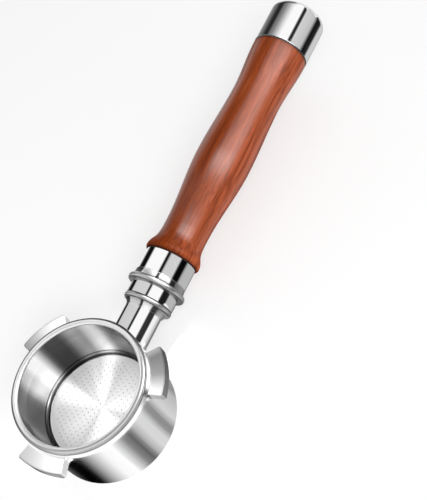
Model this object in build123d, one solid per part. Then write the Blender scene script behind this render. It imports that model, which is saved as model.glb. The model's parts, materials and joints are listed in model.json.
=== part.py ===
from build123d import *
import os
from math import hypot, isclose, radians, sqrt, tan

# A bottomless three-lug portafilter with a turned wooden grip. Millimetres, +Z up.
# The holder ring stands on z = 0 with its axis on Z; the handle leaves it along +X, tilted up.

# ------------------------------------------------------------------ filter basket
basket_r = 27.0            # inside of its straight upper wall
basket_depth = 26.65       # rim crest to the top of the perforated floor
straight_wall = 8.8        # rim crest down to where the wall starts to taper
wall_taper = 1.3           # how far the wall draws in below its straight part
taper_foot = 2.6           # floor to the foot of the taper
pan_step = 0.7             # foot of the taper to the stepped pan round the floor
sheet = 0.5                # sheet thickness
rim_width = 3.0            # rim's reach past the inside of the wall
rim_thickness = 1.6
hole_r = 0.2
hole_pitch = 2.15
hole_turn = -30.6          # degrees from the handle to a row of holes
plain_margin = 3.0         # unperforated edge of the floor

# ------------------------------------------------------------------ holder ring
holder_height = 37.2       # base to the seat that the basket's rim rests on
bore_clearance = 0.6       # round the basket's straight wall
holder_wall = 1.6
outlet_lip = 1.1           # how far the lower lip stands in from the bore
outlet_height = 8.0
band_step = 0.3            # the top band stands out of the wall by this
band_height = 4.1
lug_count = 3
lug_drop = 2.2             # seat to the lugs' top faces
lug_height = 5.0
lug_reach = 7.5            # past the ring's wall
lug_span = 35.0            # degrees
lug_turn = 2.4             # degrees from the handle's line to the nearest symmetric lug layout
lug_root_r = 2.0
lug_tip_r = 1.2
lug_edge = 0.4
lug_gusset = 1.6           # cove under each lug

# ------------------------------------------------------------------ retaining spring
wire_r = 0.5
spring_clearance = 0.3     # to the basket's wall
groove_clearance = 0.1     # round the wire
spring_drop = 5.6          # seat to the spring's middle
spring_arc = 330.0         # degrees

# ------------------------------------------------------------------ handle, along its own axis
handle_height = 18.4       # of the handle's axis where it crosses the ring's
handle_tilt = 3.3          # degrees up, away from the ring
neck_r = 8.7
neck_length = 16.5         # past the ring's wall
neck_flare = 2.8           # length of the cove under the lower bead
neck_flare_r = 10.2
lower_bead_r = 11.3
lower_bead_width = 2.4
lower_bead_edge = 1.0
sleeve_r = 11.1
sleeve_length = 5.9
upper_bead_r = 13.6
upper_bead_width = 2.7
upper_bead_edge = 1.1
ferrule_r = 11.9
ferrule_length = 13.0
ferrule_cove = 0.6         # how far its front edge rises to the bead
ferrule_web = 3.0
ferrule_wall = 1.8
joint_seal = 0.5           # thickness of the dark seals at the wood's two ends
seal_recess = 0.25         # how far a seal's edge lies under the metal's
spigot_depth = 1.2         # locating spigots between the stacked metal pieces
spigot_r = 6.5
spigot_clearance = 0.05

grip_length = 115.6
grip_lip_r = 12.4          # wood's front edge, before it rounds out to the flare
grip_flare = (1.3, 13.05)  # each pair: distance from the wood's front shoulder, radius
grip_cove = (6.1, 11.45)
grip_front_waist = (14.8, 10.5)
grip_belly = (53.7, 13.15)
grip_rear_waist = (88.7, 11.95)
grip_end_r = 13.65
tenon_clearance = 0.1
tenon_gap = 0.4            # tenon's end to the ferrule's web

cap_r = 13.75
cap_length = 23.0
cap_edge = 3.8
cap_wall = 2.6
cap_skirt_edge = 0.3

# ------------------------------------------------------------------ tie rod and fasteners, M8
rod_r = 4.0
rod_engagement = 12.8      # in the neck's blind hole
thread_clearance = 0.05
passing_clearance = 0.3    # round the rod where it only passes through
rod_tail = 2.0             # past the rear nut
nut_flats = 13.0
nut_chamfer = 0.6
jam_nut_height = 4.0
lock_nut_height = 8.0      # hexagon and collar
lock_nut_collar = 2.0
lock_nut_collar_r = 6.2
lock_ring_r = 5.2          # nylon ring in the collar
lock_ring_height = 1.7
washer_r = 8.0
washer_thickness = 1.6
lock_washer_r = 7.4
lock_washer_thickness = 2.0
lock_washer_split = 1.4
pocket_clearance = 0.4     # round nuts and washers in the wood
bush_wall = 2.0
bush_length = 10.0
bush_step = 1.2            # how much wider the bush is than the nut's pocket
cap_thread_length = 8.4

# ------------------------------------------------------------------ worked out from the above
basket_out_r = basket_r + sheet
taper_foot_r = basket_r - wall_taper
pan_r = taper_foot_r - pan_step
bore_r = basket_out_r + bore_clearance
holder_r = bore_r + holder_wall
outlet_r = bore_r - outlet_lip
band_r = holder_r + band_step
seat_z = holder_height
crest_z = seat_z + rim_thickness
floor_z = crest_z - basket_depth
taper_top_z = crest_z - straight_wall
taper_foot_z = floor_z + taper_foot
lug_top_z = seat_z - lug_drop
spring_ring_r = basket_out_r + spring_clearance + wire_r
spring_z = seat_z - spring_drop

neck_end = holder_r + neck_length
sleeve_start = neck_end + lower_bead_width
upper_bead_start = sleeve_start + sleeve_length
ferrule_start = upper_bead_start + upper_bead_width
seal_start = ferrule_start + ferrule_length
grip_start = seal_start + joint_seal
grip_end = grip_start + grip_length
cap_start = grip_end + joint_seal
cap_end = cap_start + cap_length

thread_hole_r = rod_r + thread_clearance
passing_r = rod_r + passing_clearance
ferrule_bore_r = ferrule_r - ferrule_wall
tenon_r = ferrule_bore_r - tenon_clearance
tenon_start = ferrule_start + ferrule_web + tenon_gap
nut_corner_r = nut_flats / sqrt(3)
front_lock_start = ferrule_start + ferrule_web
front_nut_start = front_lock_start + lock_washer_thickness
front_pocket_r = nut_corner_r + pocket_clearance
front_pocket_end = front_nut_start + jam_nut_height + pocket_clearance
rear_pocket_r = max(washer_r, nut_corner_r) + pocket_clearance
bush_r = rear_pocket_r + bush_step
bush_start = grip_end - bush_length
rear_nut_end = bush_start - rod_tail - pocket_clearance
rear_nut_start = rear_nut_end - lock_nut_height
rear_washer_start = rear_nut_start - washer_thickness
lock_ring_start = rear_nut_end - lock_nut_collar
rod_start = neck_end - rod_engagement
rod_end = rear_nut_end + rod_tail
cap_thread_r = bush_r - bush_wall


def outline(*corners):
    """Closed outline of straight runs; a corner's third number is its rounding radius."""
    points = [corner[:2] for corner in corners]
    roundings = [corner[2] if len(corner) == 3 else 0 for corner in corners]
    return FilletPolyline(*points, radius=roundings, close=True)


def turned_about_z(*edges):
    """Solid turned about the ring's axis from an outline of (radius, height)."""
    return revolve(Plane.XZ * make_face(edges), Axis.Z)


def turned_about_x(*edges):
    """Solid turned about the handle's axis from an outline of (along, radius)."""
    return revolve(Plane.XZ * make_face(edges), Axis.X)


def tube(start, end, inner_r, outer_r):
    """Plain sleeve about the handle's axis."""
    return turned_about_x(outline((start, inner_r), (start, outer_r), (end, outer_r), (end, inner_r)))


def on_handle(piece):
    """Moves a piece from the handle's own axis to its place on the ring."""
    return Pos(0, 0, handle_height) * Rot(0, -handle_tilt, 0) * piece


# ------------------------------------------------------------------ ring and basket pieces
def first_lug():
    """Direction of the first lug's middle, in degrees from the handle."""
    return 180 / lug_count + lug_turn


def lug_plan():
    """The ring's disc with its lugs, seen from above, corners rounded."""
    reach = 2 * (holder_r + lug_reach)
    half_width = reach * tan(radians(lug_span / 2))
    wedge = make_face(Polyline((0, 0), (reach, half_width), (reach, -half_width), close=True))
    lug = Circle(holder_r + lug_reach) & wedge
    turns = [first_lug() + n * 360 / lug_count for n in range(lug_count)]
    plan = Circle(holder_r) + [Rot(0, 0, turn) * lug for turn in turns]

    def at_radius(radius):
        return [v for v in plan.vertices() if isclose(hypot(v.X, v.Y), radius, abs_tol=1e-3)]

    plan = fillet(at_radius(holder_r), lug_root_r)
    return fillet(at_radius(holder_r + lug_reach), lug_tip_r)


def make_lugs():
    """Bayonet lugs with eased edges and a cove under each, up to the middle of the ring's wall."""
    lug_bottom_z = lug_top_z - lug_height
    plate = Pos(0, 0, lug_bottom_z) * extrude(lug_plan(), lug_height)
    plate = fillet(plate.edges().group_by(Axis.Z)[0] + plate.edges().group_by(Axis.Z)[-1], lug_edge)
    inside_r = holder_r - holder_wall / 2
    lugs = plate - Pos(0, 0, lug_bottom_z + lug_height / 2) * Cylinder(inside_r, 2 * lug_height)
    cove = Plane.XZ * make_face([
        Polyline(
            (holder_r + lug_gusset, lug_bottom_z + lug_edge), (inside_r, lug_bottom_z + lug_edge),
            (inside_r, lug_bottom_z - lug_gusset), (holder_r, lug_bottom_z - lug_gusset),
        ),
        TangentArc(
            (holder_r, lug_bottom_z - lug_gusset), (holder_r + lug_gusset, lug_bottom_z), tangent=(0, 1)
        ),
        Line((holder_r + lug_gusset, lug_bottom_z), (holder_r + lug_gusset, lug_bottom_z + lug_edge)),
    ])
    gusset_span = lug_span - 2
    for n in range(lug_count):
        turn = first_lug() + n * 360 / lug_count - gusset_span / 2
        lugs += Rot(0, 0, turn) * revolve(cove, Axis.Z, gusset_span)
    return lugs


def ring_envelope():
    """The ring's wall and top band as solid discs."""
    wall = extrude(Circle(holder_r), holder_height)
    return wall + Pos(0, 0, seat_z - band_height) * extrude(Circle(band_r), band_height)


def make_holder_ring():
    """Ring with its seat, spring groove, lower lip and bayonet lugs."""
    groove_half = wire_r + groove_clearance
    groove_r = spring_ring_r + groove_half
    seat_edge = band_step / 2
    ring = turned_about_z(outline(
        (outlet_r, 0), (holder_r, 0, 0.5),
        (holder_r, seat_z - band_height), (band_r, seat_z - band_height, seat_edge),
        (band_r, seat_z, seat_edge), (bore_r, seat_z, 0.7),
        (bore_r, spring_z + groove_half), (groove_r, spring_z + groove_half),
        (groove_r, spring_z - groove_half), (bore_r, spring_z - groove_half),
        (bore_r, outlet_height), (outlet_r, outlet_height),
    ))
    return ring + make_lugs()


def make_filter_basket():
    """Pressed cup with a rolled rim, a stepped pan and a perforated floor."""
    foot_out_r = taper_foot_r + sheet
    cup = turned_about_z(outline(
        (0, floor_z), (pan_r, floor_z, 0.8), (pan_r, taper_foot_z - sheet, 0.1),
        (taper_foot_r, taper_foot_z, 0.4), (basket_r, taper_top_z), (basket_r, crest_z, 1.5),
        (basket_r + rim_width, crest_z, 1.1), (basket_r + rim_width, seat_z, 0.3),
        (basket_out_r, seat_z, 0.8), (basket_out_r, taper_top_z),
        (foot_out_r, taper_foot_z - sheet, 0.6), (pan_r + sheet, taper_foot_z - 2 * sheet, 0.1),
        (pan_r + sheet, floor_z - sheet, 1.2), (0, floor_z - sheet),
    ))
    across = int(2 * pan_r / hole_pitch) + 2
    grid = GridLocations(hole_pitch, hole_pitch, across, across)
    holes = [spot for spot in grid if spot.position.length < pan_r - plain_margin]
    drill = Pos(0, 0, floor_z - sheet / 2) * Cylinder(hole_r, 2 * sheet)
    return cup - [Rot(0, 0, hole_turn) * spot * drill for spot in holes]


def make_retaining_spring():
    """Open wire ring in the bore's groove."""
    section = Plane.XZ * Pos(spring_ring_r, spring_z) * Circle(wire_r)
    return Rot(0, 0, (360 - spring_arc) / 2) * revolve(section, Axis.Z, spring_arc)


# ------------------------------------------------------------------ metal pieces of the handle
def make_neck():
    """Neck with a cove at its end and a blind tapped hole, its root cut to the ring's wall."""
    flare_start = neck_end - neck_flare
    body = turned_about_x(
        Polyline((flare_start, neck_r), (0, neck_r), (0, 0), (neck_end, 0), (neck_end, neck_flare_r)),
        TangentArc((flare_start, neck_r), (neck_end, neck_flare_r), tangent=(1, 0)),
    )
    body -= tube(rod_start, neck_end, 0, thread_hole_r)
    body -= tube(neck_end - spigot_depth, neck_end, 0, spigot_r + spigot_clearance)
    return on_handle(body) - ring_envelope()


def stacked(start, end, bore, *outer):
    """Ring of the clamped stack: a spigot at its front enters the piece before it, and a
    socket at its back takes the spigot of the piece after it."""
    socket_r = spigot_r + spigot_clearance
    return turned_about_x(outline(
        (start - spigot_depth + spigot_clearance, bore), (start - spigot_depth + spigot_clearance, spigot_r),
        (start, spigot_r), *outer, (end, socket_r), (end - spigot_depth, socket_r),
        (end - spigot_depth, bore),
    ))


def make_lower_bead():
    return stacked(
        neck_end, sleeve_start, passing_r,
        (neck_end, lower_bead_r, lower_bead_edge), (sleeve_start, lower_bead_r, lower_bead_edge),
    )


def make_spacer_sleeve():
    return stacked(
        sleeve_start, upper_bead_start, passing_r,
        (sleeve_start, sleeve_r), (upper_bead_start, sleeve_r),
    )


def make_upper_bead():
    return stacked(
        upper_bead_start, ferrule_start, passing_r,
        (upper_bead_start, upper_bead_r, upper_bead_edge), (ferrule_start, upper_bead_r, upper_bead_edge),
    )


def make_ferrule():
    """Cup that takes the wood's tenon."""
    inner = ferrule_start + ferrule_web
    front = ferrule_start - spigot_depth + spigot_clearance
    cove_end = ferrule_start + 4 * ferrule_cove
    front_r = ferrule_r + ferrule_cove
    return turned_about_x(
        Polyline(
            (cove_end, ferrule_r), (seal_start, ferrule_r), (seal_start, ferrule_bore_r),
            (inner, ferrule_bore_r), (inner, passing_r), (front, passing_r), (front, spigot_r),
            (ferrule_start, spigot_r), (ferrule_start, front_r),
        ),
        TangentArc((cove_end, ferrule_r), (ferrule_start, front_r), tangent=(-1, 0)),
    )


def make_end_cap():
    """Turned cap, bored out, with a threaded skirt that screws into the wood's bush."""
    bore_end = cap_end - cap_wall
    skirt_r = cap_thread_r - thread_clearance
    skirt_start = cap_start - joint_seal - cap_thread_length
    bore = skirt_r - cap_wall
    return turned_about_x(outline(
        (skirt_start, bore), (skirt_start, skirt_r), (cap_start, skirt_r),
        (cap_start, cap_r, cap_skirt_edge), (cap_end, cap_r, cap_edge),
        (cap_end, 0), (bore_end, 0), (bore_end, bore),
    ))


# ------------------------------------------------------------------ wood
def make_grip():
    """Turned grip: flare, waist, belly, second waist and a wider end, bored for the rod."""
    def at(station):
        return (grip_start + station[0], station[1])

    axial = [(1, 0), (1, 0)]
    end = (grip_end, grip_end_r)
    return turned_about_x(
        Polyline(
            end, (grip_end, bush_r), (bush_start, bush_r), (bush_start, rear_pocket_r),
            (rear_washer_start, rear_pocket_r), (rear_washer_start, passing_r),
            (front_pocket_end, passing_r), (front_pocket_end, front_pocket_r),
            (tenon_start, front_pocket_r), (tenon_start, tenon_r), (grip_start, tenon_r),
            (grip_start, grip_lip_r),
        ),
        TangentArc(at(grip_flare), (grip_start, grip_lip_r), tangent=(-1, 0)),
        Spline(at(grip_flare), at(grip_cove), at(grip_front_waist), tangents=axial),
        Spline(at(grip_front_waist), at(grip_belly), tangents=axial),
        Spline(at(grip_belly), at(grip_rear_waist), tangents=axial),
        Spline(at(grip_rear_waist), end, tangents=axial),
    )


# ------------------------------------------------------------------ fasteners
def make_tie_rod():
    edge = 0.6
    return turned_about_x(outline(
        (rod_start + thread_clearance, 0), (rod_start + thread_clearance, rod_r - edge),
        (rod_start + thread_clearance + edge, rod_r), (rod_end - edge, rod_r),
        (rod_end, rod_r - edge), (rod_end, 0),
    ))


def make_nut(start, height):
    """Hexagon nut with chamfered corners."""
    end = start + height
    hexagon = Plane.YZ.offset(start) * RegularPolygon(nut_corner_r, 6)
    chamfered = turned_about_x(outline(
        (start, thread_hole_r), (start, nut_corner_r - nut_chamfer), (start + nut_chamfer, nut_corner_r),
        (end - nut_chamfer, nut_corner_r), (end, nut_corner_r - nut_chamfer), (end, thread_hole_r),
    ))
    return extrude(hexagon, height) & chamfered


def make_lock_nut(start):
    """Hexagon nut whose collar holds a nylon ring."""
    hexagon_end = start + lock_nut_height - lock_nut_collar
    nut = make_nut(start, lock_nut_height - lock_nut_collar)
    return nut + tube(hexagon_end, start + lock_nut_height, lock_ring_r, lock_nut_collar_r)


def make_lock_washer(start):
    """Split ring."""
    ring = tube(start, start + lock_washer_thickness, passing_r, lock_washer_r)
    middle = start + lock_washer_thickness / 2
    split = Pos(middle, 0, lock_washer_r) * Box(
        2 * lock_washer_thickness, lock_washer_split, 2 * lock_washer_r - rod_r
    )
    return ring - split


ring_pieces = {
    "holder_ring": make_holder_ring(),
    "filter_basket": make_filter_basket(),
    "retaining_spring": make_retaining_spring(),
    "neck": make_neck(),
}
handle_pieces = {
    "lower_bead": make_lower_bead(),
    "spacer_sleeve": make_spacer_sleeve(),
    "upper_bead": make_upper_bead(),
    "ferrule": make_ferrule(),
    "ferrule_seal": tube(
        seal_start, grip_start, tenon_r + tenon_clearance, ferrule_r - seal_recess
    ),
    "grip": make_grip(),
    "tie_rod": make_tie_rod(),
    "front_lock_washer": make_lock_washer(front_lock_start),
    "front_jam_nut": make_nut(front_nut_start, jam_nut_height),
    "rear_washer": tube(rear_washer_start, rear_nut_start, passing_r, washer_r),
    "rear_lock_nut": make_lock_nut(rear_nut_start),
    "lock_nut_ring": tube(lock_ring_start, lock_ring_start + lock_ring_height, thread_hole_r, lock_ring_r),
    "cap_bush": tube(bush_start, grip_end, cap_thread_r, bush_r),
    "cap_seal": tube(grip_end, cap_start, bush_r, cap_r - cap_skirt_edge),
    "end_cap": make_end_cap(),
}

os.makedirs("parts", exist_ok=True)
for name, piece in ring_pieces.items():
    export_step(piece, f"parts/{name}.step")
for name, piece in handle_pieces.items():
    export_step(on_handle(piece), f"parts/{name}.step")
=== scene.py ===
import json
import math

import bmesh
import bpy
from mathutils import Matrix, Quaternion, Vector


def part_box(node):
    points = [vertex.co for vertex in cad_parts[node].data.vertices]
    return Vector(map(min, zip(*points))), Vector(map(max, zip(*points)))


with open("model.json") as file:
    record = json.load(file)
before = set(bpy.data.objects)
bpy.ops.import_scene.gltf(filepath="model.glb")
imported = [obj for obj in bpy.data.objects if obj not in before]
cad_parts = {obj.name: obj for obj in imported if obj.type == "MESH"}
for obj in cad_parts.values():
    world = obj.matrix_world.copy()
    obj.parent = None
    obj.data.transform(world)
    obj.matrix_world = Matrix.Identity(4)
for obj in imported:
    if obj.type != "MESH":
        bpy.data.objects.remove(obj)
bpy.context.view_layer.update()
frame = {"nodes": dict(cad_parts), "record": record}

MM = 0.001

# The handle's own line: it starts on the ring's axis and rises a little towards the cap.
HANDLE_HEIGHT = 18.4 * MM
HANDLE_TILT = math.radians(3.3)
HANDLE_START = Vector((0, 0, HANDLE_HEIGHT))
ALONG_HANDLE = Vector((math.cos(HANDLE_TILT), 0, math.sin(HANDLE_TILT)))


def end_along(name):
    """Where a node ends along the handle's line, in millimetres from the ring's axis."""
    corners = frame["nodes"][name].data.vertices
    return max((corner.co - HANDLE_START).dot(ALONG_HANDLE) for corner in corners) / MM


NECK_END = end_along("neck")                     # the lower bead shows from here
LOWER_BEAD_END = end_along("lower_bead")
SLEEVE_END = end_along("spacer_sleeve")          # the upper bead shows from here
UPPER_BEAD_END = end_along("upper_bead")
WOOD_START = end_along("ferrule_seal")
WOOD_END = end_along("grip")
CAP_START = end_along("cap_seal")
CAP_END = end_along("end_cap")

# Heights and radii, in millimetres, of what the ring's and the basket's finishes follow.
basket_low, basket_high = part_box("filter_basket")
ring_low, ring_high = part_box("holder_ring")
SHEET = 0.5                                      # thickness of the basket's sheet
FLOOR_Z = basket_low.z / MM + SHEET              # top of the basket's perforated floor
FOOT_RISE = 2.6                                  # floor to the foot of the basket's taper
CREST_Z = basket_high.z / MM                     # top of the basket's rim
SEAT_Z = ring_high.z / MM                        # the ring's seat, under the rim
BAND_Z = SEAT_Z - 4.1                            # lower edge of the ring's top band
LUG_TOP_Z = SEAT_Z - 2.2
MOUNTS = {mount["name"]: mount for mount in frame["record"]["mounts"]}
BASKET_R = MOUNTS["tamper_bore"]["dims"]["r_mm"]    # inside of the basket's wall
RING_R = 29.7                                    # outside of the ring's wall
LUG_TIP_R = RING_R + 7.5                         # the lugs' tips

# The camera looks down over the lugs, along the handle.
CAMERA_AIM = Vector((70.37, -32.18, 48.24)) * MM
CAMERA_DISTANCE = 400 * MM
CAMERA_AZIMUTH = math.radians(55.03)
CAMERA_DROP = math.radians(53.73)
CAMERA_ROLL = math.radians(-31.67)
CAMERA_LENS = 70.43
SENSOR_WIDTH = 36

# The studio. A level of 1 is white, sizes are in metres and powers in watts.
WORLD_LEVEL = 0.62
KEY_PLACE, KEY_SIZE, KEY_POWER = Vector((-0.25, -0.55, 0.75)), 0.5, 5
SNOOT_HEIGHT, SNOOT_SPREAD, SNOOT_POWER = 0.6, math.radians(6.4), 28
SNOOT_SIZE, SNOOT_BLEND = 0.03, 0.3
FLOOR_RADIUS = 4
FLOOR_WHITENESS = 0.5


# ---------------------------------------------------------------- shader maths


class Signal:
    """One output of a finish's nodes. Arithmetic on it adds Math nodes."""

    def __init__(self, finish, socket):
        self.finish = finish
        self.socket = socket

    def maths(self, operation, *terms):
        return self.finish.node("ShaderNodeMath", {"operation": operation}, *terms)

    def __add__(self, other):
        return self.maths("ADD", self, other)

    def __radd__(self, other):
        return self.maths("ADD", other, self)

    def __sub__(self, other):
        return self.maths("SUBTRACT", self, other)

    def __rsub__(self, other):
        return self.maths("SUBTRACT", other, self)

    def __mul__(self, other):
        return self.maths("MULTIPLY", self, other)

    def __rmul__(self, other):
        return self.maths("MULTIPLY", other, self)


class Finish:
    """A material, with the nodes that give a surface its look."""

    def __init__(self, name):
        self.material = bpy.data.materials.new(name)
        self.material.use_nodes = True
        self.tree = self.material.node_tree
        self.shader = self.tree.nodes["Principled BSDF"]
        self.end = self.tree.nodes["Material Output"]

    def node(self, kind, settings=None, *terms, output=0, **named):
        """A node of that kind. Terms fill its sockets in order and named ones by name."""
        made = self.tree.nodes.new(kind)
        for setting, value in (settings or {}).items():
            if setting == "stops":
                self.set_stops(made.color_ramp, value)
            else:
                setattr(made, setting, value)
        for place, term in [*enumerate(terms), *named.items()]:
            self.feed(made.inputs[place], term)
        return Signal(self, made.outputs[output])

    def set_stops(self, ramp, stops):
        """Gives a ramp its stops, each a place and a grey level or a colour."""
        while len(ramp.elements) < len(stops):
            ramp.elements.new(1)
        for element, (place, colour) in zip(ramp.elements, stops):
            element.position = place
            element.color = colour_of(colour)

    def feed(self, socket, term):
        """Links a signal to a socket, or writes a plain value on it."""
        if isinstance(term, Signal):
            self.tree.links.new(term.socket, socket)
        elif socket.type == "RGBA":
            socket.default_value = colour_of(term)
        else:
            socket.default_value = term

    def set(self, **values):
        """Sets or links the main shader's sockets, named with _ for a space."""
        for name, value in values.items():
            self.feed(self.shader.inputs[name.replace("_", " ")], value)

    def place(self, origin=(0, 0, 0), turn=(0, 0, 0), stretch=(1, 1, 1)):
        """Object coordinates, in millimetres, moved to an origin, turned and stretched."""
        here = self.node("ShaderNodeTexCoord", output="Object")
        centred = self.node("ShaderNodeVectorMath", {"operation": "SUBTRACT"}, here, origin)
        turned = self.node("ShaderNodeMapping", {"vector_type": "POINT"}, centred, Rotation=turn)
        scale = tuple(share / MM for share in stretch)
        return self.node("ShaderNodeVectorMath", {"operation": "MULTIPLY"}, turned, scale)

    def noise(self, where, scale=1.0, detail=2.0, roughness=0.5, distortion=0.0):
        return self.node("ShaderNodeTexNoise", None, Vector=where, Scale=scale, Detail=detail,
                         Roughness=roughness, Distortion=distortion)

    def ramp(self, signal, *stops):
        """A grey or coloured ramp over a signal from 0 to 1."""
        return self.node("ShaderNodeValToRGB", {"stops": stops}, signal)

    def profile(self, signal, *stops):
        """A ramp whose stops are places on the signal's own scale."""
        low, high = stops[0][0], stops[-1][0]
        share = (signal - low) * (1 / (high - low))
        return self.ramp(share, *[((place - low) / (high - low), level) for place, level in stops])

    def split(self, where):
        """The three parts of a vector."""
        first = self.node("ShaderNodeSeparateXYZ", None, where)
        return [Signal(self, socket) for socket in first.socket.node.outputs]

    def degrees_round(self, where):
        """Degrees round Z from X, from -180 to 180."""
        return self.node("ShaderNodeTexGradient", {"gradient_type": "RADIAL"}, where, output=1) * 360 - 180

    def round_axis(self):
        """Distance from the ring's axis, height, and degrees round from the handle."""
        here = self.place()
        flat = self.node("ShaderNodeVectorMath", {"operation": "MULTIPLY"}, here, (1, 1, 0))
        radius = self.node("ShaderNodeVectorMath", {"operation": "LENGTH"}, flat, output="Value")
        return radius, self.split(here)[2], self.degrees_round(here)

    def down_handle(self, stretch=(1, 1, 1)):
        """Coordinates along the handle's own line: along it, across it, up from it."""
        return self.place(tuple(HANDLE_START), (0, HANDLE_TILT, 0), stretch)

    def mix(self, share, first, second, blend="MIX"):
        """A colour between two colours."""
        made = self.node("ShaderNodeMix", {"data_type": "RGBA", "blend_type": blend}, output=2)
        sockets = made.socket.node.inputs
        self.feed(sockets[0], share)
        self.feed(sockets[6], first)
        self.feed(sockets[7], second)
        return made

    def times(self, first, second):
        """Two colours multiplied."""
        return self.mix(1.0, first, second, blend="MULTIPLY")

    def bump(self, height, depth):
        """A bump from a height signal, with its depth in millimetres."""
        return self.node("ShaderNodeBump", None, Strength=1.0, Distance=depth * MM, Height=height)


def colour_of(value):
    """A grey level or a colour as the four numbers a socket takes."""
    if isinstance(value, (int, float)):
        return (value, value, value, 1)
    return (*value[:3], 1)


# ---------------------------------------------------------------- metal finishes


def metal(name, colour, roughness, smudge):
    """A metal with faint handling smudges in its gloss."""
    finish = Finish(name)
    cloud = finish.noise(finish.place(), scale=0.12, detail=3)
    finish.set(Base_Color=colour, Metallic=1.0, Roughness=roughness + smudge * (cloud - 0.5))
    return finish


def turning_marks(finish, across, depth):
    """Fine marks left by a lathe, constant round the axis."""
    marks = finish.noise(finish.node("ShaderNodeCombineXYZ", None, across, 0.0, 0.0), scale=6.0, detail=3)
    return finish.bump(marks, depth)


POLISHED, PRESSED = (0.95, 0.95, 0.955), (0.97, 0.97, 0.97)

# Painted light round the ring's axis. Each stop is a place, in degrees from the handle, and a level.
# Painted sheen on the lug tops.
LUG_PAINTED_SHEEN = [
    (-180, 0.60), (-170, 0.80), (-162, 0.97), (-110, 0.97), (-74, 0.86), (-66, 0.50), (-60, 0.27),
    (-46, 0.17), (-41, 0.35), (45, 0.85), (55, 0.80), (64, 0.62), (70, 0.42), (79, 0.25), (120, 0.4),
    (166, 0.45), (174, 0.52), (180, 0.60),
]
# Painted shadow of a lug on the ring's band beside it.
BAND_PAINTED_SHADOW = [(-88, 1.0), (-83, 0.6), (-77, 0.35), (-70, 0.42), (-42, 0.5), (-38, 1.0)]
# Where the rim's near-side painted light takes over from its far-side painted light.
NEAR_SIDE_RIM_LIGHT = [(-180, 0.5), (-160, 1.0), (-55, 1.0), (-35, 0.2), (-20, 0.0), (140, 0.0), (180, 0.5)]
# Painted reflection bands on the basket's inner wall.
WALL_PAINTED_REFLECTIONS = [
    (-180, 0.12), (-146, 0.70), (-128, 0.80), (-96, 0.18), (-62, 0.55), (-30, 0.12), (3, 0.09),
    (9, 0.15), (14, 0.40), (19, 0.85), (25, 0.95), (31, 0.65), (36, 0.34), (43, 0.36), (48, 0.25),
    (52, 0.11), (56, 0.05), (70, 0.05), (74, 0.12), (78, 0.5), (83, 1.0), (92, 1.0), (98, 0.62),
    (104, 0.42), (109, 0.20), (114, 0.07), (120, 0.04), (134, 0.04), (158, 0.05), (180, 0.08),
]
# Painted sheen in soft spokes on the basket's floor.
FLOOR_PAINTED_SHEEN = [
    (-180, 0.78), (-166, 0.92), (-150, 1.0), (-112, 1.0), (-90, 0.74), (-68, 0.9), (-25, 0.95),
    (2, 0.82), (28, 1.0), (65, 1.0), (90, 0.74), (115, 0.95), (150, 1.0), (168, 0.9), (180, 0.78),
]


def ring_steel():
    """Polished ring with satin lug tops under a painted sheen, painted dark edges near the lugs' tips,
    painted shade lines under the rim and at the band's step, and a painted lug shadow on the band.
    """
    finish = Finish("ring_steel")
    radius, height, turn = finish.round_axis()
    on_lug = finish.profile(radius, (RING_R + 0.9, 0.0), (RING_R + 1.5, 1.0))
    on_top = on_lug * finish.profile(height, (LUG_TOP_Z - 0.5, 0.0), (LUG_TOP_Z - 0.3, 1.0))
    # Painted dark edges near the lugs' tips, and a painted sheen over the lug tops.
    lug_tip_painted_shade = finish.profile(radius, (LUG_TIP_R - 0.9, 1.0), (LUG_TIP_R - 0.3, 0.6), (LUG_TIP_R - 0.1, 0.2))
    lug = finish.times(finish.profile(turn, *LUG_PAINTED_SHEEN), lug_tip_painted_shade)
    # Painted shade: dark lines at the band's step and under the basket's rim.
    wall = finish.profile(
        height, (BAND_Z - 0.5, 1.0), (BAND_Z - 0.2, 0.5), (BAND_Z, 0.6), (BAND_Z + 0.3, 1.0),
        (SEAT_Z - 1.6, 1.0), (SEAT_Z - 0.8, 0.7), (SEAT_Z - 0.35, 0.2), (SEAT_Z, 0.05))
    # Painted shadow of a lug on the band.
    on_band = finish.profile(height, (BAND_Z - 0.3, 0.0), (BAND_Z, 1.0))
    wall = finish.times(wall, finish.mix(on_band, 1.0, finish.profile(turn, *BAND_PAINTED_SHADOW)))
    finish.set(Base_Color=finish.times(POLISHED, finish.mix(on_lug, wall, lug)))
    finish.set(Roughness=0.09 + 0.24 * on_lug, Metallic=1 - 0.75 * on_top)
    finish.set(Normal=turning_marks(finish, height, 0.0006))
    return finish


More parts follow.
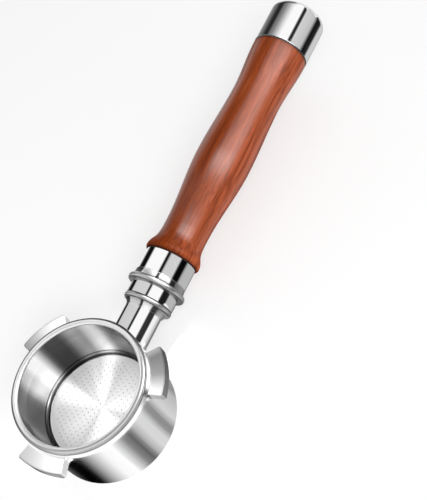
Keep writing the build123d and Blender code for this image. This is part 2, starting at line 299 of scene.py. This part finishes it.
def basket_steel():
    """Pressed sheet: satin rolled rim with a painted highlight and dark painted outline, wall with painted
    reflection bands, painted shade round its stepped foot and in the holes, and a painted sheen in spokes on
    the floor.
    """
    finish = Finish("basket_steel")
    radius, height, turn = finish.round_axis()
    out = radius - BASKET_R                      # outwards from the inside of the wall
    rise = height - FLOOR_Z
    # Painted shade: dark bands round the stepped foot of the wall, either side of a bright line.
    wall = finish.profile(rise, (0.05, 1.0), (0.4, 0.12), (FOOT_RISE - 0.7, 0.10), (FOOT_RISE - 0.25, 0.9),
                          (FOOT_RISE + 0.1, 0.95), (FOOT_RISE + 0.3, 0.10), (FOOT_RISE + 0.6, 0.3),
                          (FOOT_RISE + 0.9, 1.0))
    inside = finish.profile(out, (0.2, 1.0), (0.7, 0.0))
    # Painted reflection bands on the inside of the wall.
    wall = finish.times(wall, finish.mix(inside, 1.0, finish.profile(turn, *WALL_PAINTED_REFLECTIONS)))
    # Painted light on the rolled rim: a painted highlight ring and a dark painted outline, different on the
    # near side and the far side.
    far_rim_painted_light = finish.profile(out, (-0.1, 0.95), (0.4, 0.85), (0.8, 0.6), (1.2, 0.7), (1.65, 0.8), (1.85, 0.5),
                             (2.0, 0.2), (2.2, 0.05))
    near_rim_painted_light = finish.profile(out, (0.3, 0.8), (1.1, 0.9), (1.4, 0.42), (1.7, 0.28), (2.0, 0.36), (2.3, 0.55),
                              (2.6, 0.6), (2.85, 0.4), (3.0, 0.3))
    rim = finish.mix(finish.profile(turn, *NEAR_SIDE_RIM_LIGHT), far_rim_painted_light, near_rim_painted_light)
    on_rim = finish.profile(height, (CREST_Z - 1.3, 0.0), (CREST_Z - 1.0, 1.0))
    # Painted shade on the walls of the holes in the floor.
    hole_painted_shade = finish.profile(rise, (-SHEET, 0.0), (-SHEET + 0.03, 1.0), (-0.05, 1.0), (-0.02, 0.0))
    # The floor: a painted sheen in soft spokes, with the painted shade in its holes.
    floor = finish.mix(hole_painted_shade, finish.profile(turn, *FLOOR_PAINTED_SHEEN), 0.02)
    on_floor = finish.profile(rise, (-0.1, 1.0), (0.12, 0.0))
    shade = finish.mix(on_floor, finish.mix(on_rim, wall, rim), floor)
    finish.set(Base_Color=finish.times(PRESSED, shade))
    finish.set(Roughness=0.22 + 0.1 * on_floor + 0.12 * on_rim, Metallic=1 - 0.95 * on_floor - 0.25 * on_rim)
    finish.set(Specular_IOR_Level=0, Normal=turning_marks(finish, radius + height, 0.0006))
    return finish


def spring_steel():
    return metal("spring_steel", (0.62, 0.62, 0.62), 0.25, 0.1)


# Painted reflections: they carry the plate's mirrored stripes on across the coves.
# Stripes across the two coves. Each stop is a place, in degrees from upright and growing towards the
# lug side, and a level.
FRONT_COVE_PAINTED_REFLECTIONS = [
    (-29, 0.02), (-25, 0.60), (9, 0.62), (13, 0.04), (17, 0.03), (20, 0.85), (43, 0.95), (47, 0.06),
    (60, 0.05), (68, 0.35), (90, 0.6), (110, 0.3),
]
REAR_COVE_PAINTED_REFLECTIONS = [
    (-18, 0.01), (-14, 0.85), (17, 0.95), (20, 0.03), (24, 0.03), (28, 0.55), (49, 0.6), (53, 0.02),
    (62, 0.02), (68, 0.3), (90, 0.45), (110, 0.2),
]


def handle_chrome():
    """Bright plate, with painted reflection bands in the two satin coves beside the beads that carry on its
    mirrored bands, and painted shade at both ends of the handle's end piece.
    """
    finish = Finish("handle_chrome")
    along, across, up = finish.split(finish.down_handle())
    turn = finish.degrees_round(finish.node("ShaderNodeCombineXYZ", None, up, 0 - across, 0.0))
    past_sleeve = finish.profile(along, (LOWER_BEAD_END, 0.0), (SLEEVE_END, 1.0))
    # Painted reflection stripes in the coves.
    cove_painted_reflections = finish.mix(past_sleeve, finish.profile(turn, *FRONT_COVE_PAINTED_REFLECTIONS),
                         finish.profile(turn, *REAR_COVE_PAINTED_REFLECTIONS))
    in_cove = finish.profile(along, (NECK_END - 2.9, 0.0), (NECK_END - 2.3, 1.0), (NECK_END, 1.0),
                             (NECK_END + 0.2, 0.0), (UPPER_BEAD_END - 0.2, 0.0), (UPPER_BEAD_END, 1.0),
                             (UPPER_BEAD_END + 2.5, 1.0), (UPPER_BEAD_END + 3.1, 0.0))
    # Painted shade at the start of the end cap and over its rounded end.
    cap_painted_shade = finish.profile(along, (CAP_START, 0.1), (CAP_START + 0.5, 1.0), (CAP_END - 2.4, 1.0),
                         (CAP_END - 1.0, 0.55), (CAP_END - 0.1, 0.25))
    on_cap = finish.profile(along, (WOOD_END - 6.3, 0.0), (WOOD_END - 5.3, 1.0))
    colour = finish.mix(in_cove, POLISHED, cove_painted_reflections)
    finish.set(Base_Color=finish.times(colour, finish.mix(on_cap, 1.0, cap_painted_shade)))
    finish.set(Roughness=0.03 + 0.37 * in_cove, Metallic=1 - 0.15 * in_cove)
    return finish


def bead_steel():
    """Satin beads, with painted shade into their corners."""
    finish = metal("bead_steel", (0.5, 0.5, 0.5), 0.33, 0.04)
    along = finish.split(finish.down_handle())[0]
    finish.set(Base_Color=finish.profile(
        along, (NECK_END, 0.12), (NECK_END + 0.7, 0.52), (LOWER_BEAD_END - 0.6, 0.52), (LOWER_BEAD_END, 0.14),
        (SLEEVE_END, 0.12), (SLEEVE_END + 0.7, 0.55), (UPPER_BEAD_END - 0.7, 0.55), (UPPER_BEAD_END, 0.14)))
    return finish


def zinc_steel():
    return metal("zinc_steel", (0.62, 0.62, 0.58), 0.35, 0.15)


def bush_brass():
    return metal("bush_brass", (0.78, 0.60, 0.30), 0.30, 0.1)


# ---------------------------------------------------------------- wood, rubber, nylon

# The wood's ground, from its orange-red side to a darker brown side that is painted shade; the wood's own
# tone drift moves the change along it. Places are in millimetres across it.
WOOD_GROUND_AND_SHADED_SIDE = [(-7, (0.45, 0.098, 0.035)), (-1, (0.37, 0.074, 0.022)), (4, (0.29, 0.052, 0.009)),
               (12, (0.25, 0.042, 0.005))]
DARK_STREAK, PALE_STREAK = (0.13, 0.022, 0.008), (0.60, 0.19, 0.085)
FINE_LINE, PORE = (0.14, 0.022, 0.006), (0.07, 0.014, 0.006)


def rosewood():
    """Oiled rosewood: orange-red on one side and darker brown on the other as painted shade, painted shade at
    its joints, long soft streaks and fine pores.
    """
    finish = Finish("rosewood")
    along, across, up = finish.split(finish.down_handle())
    drift = finish.noise(finish.down_handle((0.007, 0.07, 0.07)), detail=2)
    figure = finish.noise(finish.down_handle((0.016, 0.30, 0.30)), detail=2, distortion=0.6)
    streak = finish.noise(finish.down_handle((0.016, 0.75, 0.75)), detail=3, roughness=0.6, distortion=0.3)
    lines = finish.noise(finish.down_handle((0.012, 2.2, 2.2)), detail=2)
    pores = finish.noise(finish.down_handle((0.10, 3.6, 3.6)), detail=2)
    # Darker towards one side: painted shade, moved along the handle by the wood's own tone drift.
    tone_drift_and_shade_side = 0.87 * across + 0.5 * up + 9.0 * (drift - 0.5)
    colour = finish.times(finish.profile(tone_drift_and_shade_side, *WOOD_GROUND_AND_SHADED_SIDE),
                          finish.ramp(figure, (0.30, 0.72), (0.42, 0.9), (0.55, 1.04), (0.72, 1.3)))
    colour = finish.mix(finish.ramp(streak, (0.36, 0.55), (0.52, 0.0)), colour, DARK_STREAK)
    colour = finish.mix(finish.ramp(streak, (0.56, 0.0), (0.74, 0.3)), colour, PALE_STREAK)
    colour = finish.mix(finish.ramp(lines, (0.38, 0.40), (0.50, 0.0)), colour, FINE_LINE)
    colour = finish.mix(finish.ramp(pores, (0.33, 0.22), (0.44, 0.0)), colour, PORE)
    # Painted shade at the joints with the ferrule and the end cap.
    ends = finish.profile(along, (WOOD_START, 0.25), (WOOD_START + 0.5, 0.7), (WOOD_START + 1.7, 1.0),
                          (WOOD_END - 1.5, 1.0), (WOOD_END - 0.5, 0.75), (WOOD_END, 0.3))
    oil = finish.profile(along, (WOOD_START + 1.3, 0.1), (WOOD_START + 5.3, 0.3), (WOOD_START + 11.3, 0.8),
                         (WOOD_END - 0.3, 0.8))
    finish.set(Base_Color=finish.times(colour, ends), Roughness=0.45 + 0.12 * (streak - 0.5))
    finish.set(Coat_Weight=oil, Coat_Roughness=0.21, Specular_IOR_Level=0, Normal=finish.bump(pores, 0.01))
    return finish


def dull(name, colour, roughness, grain, depth):
    """A moulded rubber or plastic with a fine surface grain."""
    finish = Finish(name)
    cloud = finish.noise(finish.place(), scale=grain, detail=3)
    finish.set(Base_Color=finish.mix(cloud, colour, tuple(1.25 * part for part in colour)),
               Roughness=roughness, Normal=finish.bump(cloud, depth))
    return finish


def seal_rubber():
    return dull("seal_rubber", (0.018, 0.017, 0.016), 0.6, 1.2, 0.02)


def nylon():
    return dull("nylon", (0.10, 0.18, 0.42), 0.45, 0.8, 0.01)


FINISHES = {
    finish.__name__: finish
    for finish in (ring_steel, basket_steel, spring_steel, handle_chrome, bead_steel, zinc_steel,
                   bush_brass, rosewood, seal_rubber, nylon)
}


def dress_nodes():
    """Gives each node the finish that its slot in the record names."""
    made = {}
    for part in frame["record"]["subparts"]:
        slot = part["material_slot"]
        if slot not in made:
            made[slot] = FINISHES[slot]().material
        node = frame["nodes"][part["node"]]
        node.data.materials.clear()
        node.data.materials.append(made[slot])


# ---------------------------------------------------------------- studio


def place_camera():
    """Sets the camera above the lugs, rolled so that the handle climbs to the upper right."""
    level = math.cos(CAMERA_DROP)
    sight = Vector((level * math.cos(CAMERA_AZIMUTH), level * math.sin(CAMERA_AZIMUTH),
                    -math.sin(CAMERA_DROP)))
    data = bpy.data.cameras.new("studio_camera")
    data.lens = CAMERA_LENS
    data.sensor_width = SENSOR_WIDTH
    camera = bpy.data.objects.new("studio_camera", data)
    camera.location = CAMERA_AIM - sight * CAMERA_DISTANCE
    camera.rotation_mode = "QUATERNION"
    camera.rotation_quaternion = sight.to_track_quat("-Z", "Y") @ Quaternion((0, 0, 1), CAMERA_ROLL)
    bpy.context.scene.collection.objects.link(camera)
    bpy.context.scene.camera = camera


def light_world(level):
    """An even pale world. The camera and the metal see it as white."""
    world = bpy.data.worlds.new("studio")
    world.use_nodes = True
    bpy.context.scene.world = world
    tree = world.node_tree
    sky = tree.nodes["Background"]
    sky.inputs["Color"].default_value = (1, 1, 1, 1)
    path = tree.nodes.new("ShaderNodeLightPath")
    seen = tree.nodes.new("ShaderNodeMath")
    seen.operation = "MAXIMUM"
    tree.links.new(path.outputs["Is Camera Ray"], seen.inputs[0])
    tree.links.new(path.outputs["Is Glossy Ray"], seen.inputs[1])
    strength = tree.nodes.new("ShaderNodeMapRange")
    strength.inputs["To Min"].default_value = level
    strength.inputs["To Max"].default_value = 1
    tree.links.new(seen.outputs[0], strength.inputs["Value"])
    tree.links.new(strength.outputs[0], sky.inputs["Strength"])


def hang_lamp(name, place, size, power):
    """A square softbox aimed where the camera looks. Metal mirrors the cards, not the lamp."""
    data = bpy.data.lights.new(name, "AREA")
    data.shape = "SQUARE"
    data.size = size
    data.energy = power
    lamp = bpy.data.objects.new(name, data)
    lamp.location = place
    lamp.rotation_mode = "QUATERNION"
    lamp.rotation_quaternion = (CAMERA_AIM - lamp.location).to_track_quat("-Z", "Y")
    lamp.visible_glossy = False
    bpy.context.scene.collection.objects.link(lamp)


def hang_snoot(name, height, spread, power):
    """A narrow lamp over the ring's axis that lights the basket's floor."""
    data = bpy.data.lights.new(name, "SPOT")
    data.spot_size = spread
    data.spot_blend = SNOOT_BLEND
    data.shadow_soft_size = SNOOT_SIZE
    data.energy = power
    lamp = bpy.data.objects.new(name, data)
    lamp.location = (0, 0, height)
    lamp.visible_glossy = False
    bpy.context.scene.collection.objects.link(lamp)


def lay_floor():
    """A white floor that keeps the object's soft shadow."""
    shape = bmesh.new()
    bmesh.ops.create_circle(shape, cap_ends=True, radius=FLOOR_RADIUS, segments=96)
    floor = add_mesh("floor", shape)
    finish = Finish("floor")
    finish.set(Base_Color=1.0, Roughness=0.9, Specular_IOR_Level=0)
    seen = finish.node("ShaderNodeLightPath", output="Is Camera Ray")
    white = finish.node("ShaderNodeEmission", None, Color=1.0, Strength=1.0)
    lit = Signal(finish, finish.shader.outputs["BSDF"])
    paled = finish.node("ShaderNodeMixShader", None, seen * FLOOR_WHITENESS, lit, white)
    finish.feed(finish.end.inputs["Surface"], paled)
    floor.data.materials.append(finish.material)


def card_glow():
    """The glow of every reflection card, read from the level at each of its stations."""
    finish = Finish("card_glow")
    level = finish.node("ShaderNodeAttribute", {"attribute_name": "glow"}, output="Fac")
    glow = finish.node("ShaderNodeEmission", None, Color=1.0, Strength=level)
    finish.feed(finish.end.inputs["Surface"], glow)
    finish.material.cycles.emission_sampling = "NONE"
    return finish.material


def hang_card(name, ends, sweep, stations):
    """A card that only shows in reflections: an edge swept from station to station, each with its glow."""
    shape = bmesh.new()
    glow = shape.verts.layers.float.new("glow")
    edge = shape.edges.new([shape.verts.new(end) for end in ends])
    moved = Matrix()
    for number, (place, level) in enumerate(stations):
        if number:
            grown = bmesh.ops.extrude_edge_only(shape, edges=[edge])["geom"]
            edge = next(part for part in grown if isinstance(part, bmesh.types.BMEdge))
        bmesh.ops.transform(shape, matrix=sweep(place) @ moved.inverted(), verts=edge.verts)
        for corner in edge.verts:
            corner[glow] = level
        moved = sweep(place)
    card = add_mesh(name, shape)
    card.data.materials.append(CARD_GLOW)
    card.visible_camera = False
    card.visible_diffuse = False
    card.visible_shadow = False


def about(origin, axis):
    """A sweep that turns about a line by degrees."""
    there, back = Matrix.Translation(origin), Matrix.Translation(-origin)
    return lambda turn: there @ Matrix.Rotation(math.radians(turn), 4, axis) @ back


def beside_handle(side):
    """A sweep over the floor, away from the handle by millimetres, that leans and widens as it goes."""
    def slide(reach):
        away = reach * MM
        return Matrix(((1 + FLOOR_SPREAD * away, 0, 0, FLOOR_LEAN * away), (0, 1, 0, side * away),
                       (0, 0, 1, 0), (0, 0, 0, 1)))
    return slide


def mirrored_by_wall(turn):
    """A turn round the ring that also fans out from the wall, as its reflections do."""
    foot = Matrix.Translation((WALL_R, 0, 0))
    fan = Matrix.Rotation(math.radians(turn - WALL_FACES), 4, "Z")
    return Matrix.Rotation(math.radians(turn), 4, "Z") @ foot @ fan @ foot.inverted()


def smooth_stations(stations, step):
    """Adds stations, so that a curved card stays round between two levels."""
    full = [stations[0]]
    for (start, low), (stop, high) in zip(stations, stations[1:]):
        count = max(1, math.ceil(abs(stop - start) / step))
        full += [(start + (stop - start) * part / count, low + (high - low) * part / count)
                 for part in range(1, count + 1)]
    return full


# Each card round the handle covers a stretch of its line, in millimetres. A place is the angle from
# upright, growing towards the lug side; a level of 1 is white.
NECK_GLOW = [(-13, 0.66), (-10, 0.6), (-6, 0.03), (1, 0.01), (4, 0.2), (8, 1.0), (55, 1.0), (61, 0.08),
             (64, 0.035), (94, 0.03)]
HANDLE_CARDS = {
    "neck_card": (80, 111, [(-100, 0.01), (-92, 0.02), (-85, 0.62), *NECK_GLOW]),
    "sleeve_card": (111, 127, [
        (-100, 0.002), (-84, 0.004), (-79, 0.08), (-73, 0.6), (-68, 0.65), (-2, 0.68), (2, 0.1),
        (4, 0.012), (8, 0.02), (13, 0.8), (16, 1.0), (62, 1.0), (67, 0.08), (71, 0.012), (94, 0.012)]),
    "ferrule_card": (127, 164, [
        (-100, 0.005), (-68, 0.005), (-65, 0.2), (-60, 0.8), (-56, 1.0), (3, 1.0), (8, 0.1),
        (10, 0.003), (16, 0.01), (20, 0.3), (24, 0.66), (66, 0.66), (70, 0.2), (74, 0.004),
        (94, 0.002)]),
    "heel_card": (164, 176, [
        (-100, 1.3), (-86, 1.2), (-68, 0.6), (-52, 0.05), (-20, 0.02), (-8, 2.0), (4, 4.0), (50, 5.0),
        (62, 3.0), (78, 0.5), (94, 0.05)]),
    "grip_card": (176, 235, [
        (-100, 1.3), (-86, 1.2), (-68, 0.6), (-52, 0.05), (-20, 0.02), (-8, 4.0), (4, 9.0), (50, 11.0),
        (62, 6.0), (78, 0.5), (94, 0.05)]),
    "swell_card": (235, 340, [
        (-100, 1.5), (-86, 1.4), (-68, 0.7), (-52, 0.05), (-16, 0.02), (-4, 2.0), (8, 3.5), (50, 6.5),
        (62, 4.5), (78, 0.5), (94, 0.05)]),
    "cap_card": (340, 1200, [
        (-92, 0.15), (-80, 0.10), (-72, 0.025), (-56, 0.02), (-50, 0.12), (-44, 0.19), (-36, 0.25),
        (-24, 0.44), (-12, 0.75), (0, 1.0), (31, 1.0), (36, 0.1), (38, 0.02), (45, 0.02), (51, 0.7),
        (56, 0.64), (70, 0.62), (94, 0.52)]),
    "flare_card": (-150, 80, [(-18, 0.66), *NECK_GLOW]),
}
HANDLE_CARD_RADIUS = 300 * MM

# Each strip of the floor beside the handle starts from a stretch of X and runs away from it, on
# the lug side (-1) or the other side (1). A place is the distance from the handle's line.
FAR_GLOW = [(105, 0.97), (140, 0.88), (185, 0.55), (245, 0.38), (380, 0.2)]
FLOOR_STRIPS = {
    "neck_strip_near": (32, 50, -1, [
        (0, 1.0), (7, 0.8), (12, 0.15), (16, 0.17), (24, 0.58), (34, 0.75), (46, 0.88), (61, 0.93),
        *FAR_GLOW]),
    "sleeve_strip_near": (50, 60, -1, [
        (0, 0.1), (8, 0.14), (14, 0.43), (24, 0.48), (78, 0.50), (102, 0.45), (137, 0.12), (185, 0.02),
        (380, 0.01)]),
    "ferrule_strip_near": (60, 78, -1, [
        (0, 0.2), (7, 0.28), (15, 0.49), (61, 0.49), (80, 0.45), (102, 0.32), (137, 0.1), (188, 0.01),
        (380, 0.005)]),
    "cap_strip_near": (165, 260, -1, [
        (0, 0.45), (6, 0.46), (14, 0.60), (25, 0.63), (36, 0.60), (44, 0.1), (50, 0.02), (110, 0.004),
        (140, 0.05), (188, 0.18), (249, 0.28), (370, 0.4)]),
    "neck_strip_far": (30, 50, 1, [
        (0, 1.0), (28, 0.74), (36, 0.62), (46, 0.36), (62, 0.14), (76, 0.06), (100, 0.005),
        (400, 0.01)]),
    "sleeve_strip_far": (50, 60, 1, [
        (0, 1.0), (31, 0.87), (40, 0.68), (61, 0.41), (79, 0.2), (107, 0.08), (141, 0.02), (400, 0.0)]),
    "ferrule_strip_far": (60, 78, 1, [
        (0, 1.0), (50, 0.98), (62, 0.9), (80, 0.72), (108, 0.47), (138, 0.27), (180, 0.14), (240, 0.06),
        (400, 0.02)]),
    "cap_strip_far": (165, 260, 1, [
        (0, 1.0), (43, 0.98), (55, 0.8), (80, 0.58), (102, 0.32), (133, 0.27), (190, 0.21), (400, 0.2)]),
    "grip_strip_near": (78, 165, -1, [
        (0, 0.1), (10, 0.12), (16, 0.3), (24, 0.9), (32, 0.6), (45, 0.4), (90, 0.1), (380, 0.05)]),
    "neck_strip_back": (-10, 32, -1, [(80, 0.93), *FAR_GLOW]),
}
FLOOR_LEAN, FLOOR_SPREAD = 0.112, 2.2            # sideways lean, and how it grows with each metre away
STRIP_LIFT = 0.6 * MM
STRIP_REACH = 2000                               # millimetres, past the last place above

# The card on the floor in front of the ring's wall. A place is an angle round the wall, from the handle:
# what stands there on the wall mirrors the card's edge at that place.
WALL_CARD = [
    (-215, 0.13), (-209, 0.5), (-203, 0.6), (-197, 0.9), (-191, 0.55), (-185, 0.12), (-179, 0.09),
    (-173, 0.025), (-167, 0.001), (-158, 0.001), (-155, 0.016), (-152, 0.09), (-149, 0.21), (-143, 0.5),
    (-137, 0.8), (-132, 1.0), (-124, 1.05), (-119, 0.64), (-113, 0.25), (-107, 0.13), (-104, 0.25),
    (-101, 0.49), (-95, 0.72), (-89, 0.7), (-83, 0.29), (-79, 0.28), (-75, 0.5), (-71, 0.68),
    (-59, 0.55), (-53, 0.5), (-47, 0.3), (-10, 0.3),
]
WALL_R = RING_R * MM
WALL_CARD_REACH = 20.2 * MM
WALL_CARD_LIFT = 0.4 * MM
WALL_FACES = -106                                # the place on the wall that mirrors straight back

# The card that darkens the ring's outline on its far side, and its inner and outer radius.
OUTLINE_CARD = [(46, 0.3), (52, 0.05), (150, 0.05), (162, 0.4)]
OUTLINE_CARD_INNER, OUTLINE_CARD_OUTER = 32 * MM, 90 * MM
STATION_STEP = 5                                 # degrees between a curved card's stations, at most


def hang_cards():
    """Hangs every reflection card."""
    upright = Vector((-math.sin(HANDLE_TILT), 0, math.cos(HANDLE_TILT)))
    for name, (near, far, stations) in HANDLE_CARDS.items():
        ends = [HANDLE_START + ALONG_HANDLE * (place * MM) + upright * HANDLE_CARD_RADIUS
                for place in (near, far)]
        hang_card(name, ends, about(HANDLE_START, ALONG_HANDLE), smooth_stations(stations, STATION_STEP))
    for name, (start, stop, side, stations) in FLOOR_STRIPS.items():
        stations = [*stations, (STRIP_REACH, stations[-1][1])]
        ends = [Vector((place * MM, 0, STRIP_LIFT)) for place in (start, stop)]
        hang_card(name, ends, beside_handle(side), stations)
    ends = [Vector((WALL_R + reach, 0, WALL_CARD_LIFT)) for reach in (0, WALL_CARD_REACH)]
    hang_card("wall_card", ends, mirrored_by_wall, smooth_stations(WALL_CARD, STATION_STEP))
    ends = [Vector((reach, 0, STRIP_LIFT)) for reach in (OUTLINE_CARD_INNER, OUTLINE_CARD_OUTER)]
    round_ring = about(Vector(), Vector((0, 0, 1)))
    hang_card("outline_card", ends, round_ring, smooth_stations(OUTLINE_CARD, STATION_STEP))


def add_mesh(name, shape):
    """Makes an object of a finished bmesh."""
    mesh = bpy.data.meshes.new(name)
    shape.to_mesh(mesh)
    shape.free()
    made = bpy.data.objects.new(name, mesh)
    bpy.context.scene.collection.objects.link(made)
    return made


bpy.context.scene.view_settings.view_transform = "Standard"
CARD_GLOW = card_glow()
place_camera()
light_world(WORLD_LEVEL)
hang_lamp("key_softbox", KEY_PLACE, KEY_SIZE, KEY_POWER)
hang_snoot("basket_lamp", SNOOT_HEIGHT, SNOOT_SPREAD, SNOOT_POWER)
lay_floor()
hang_cards()
dress_nodes()
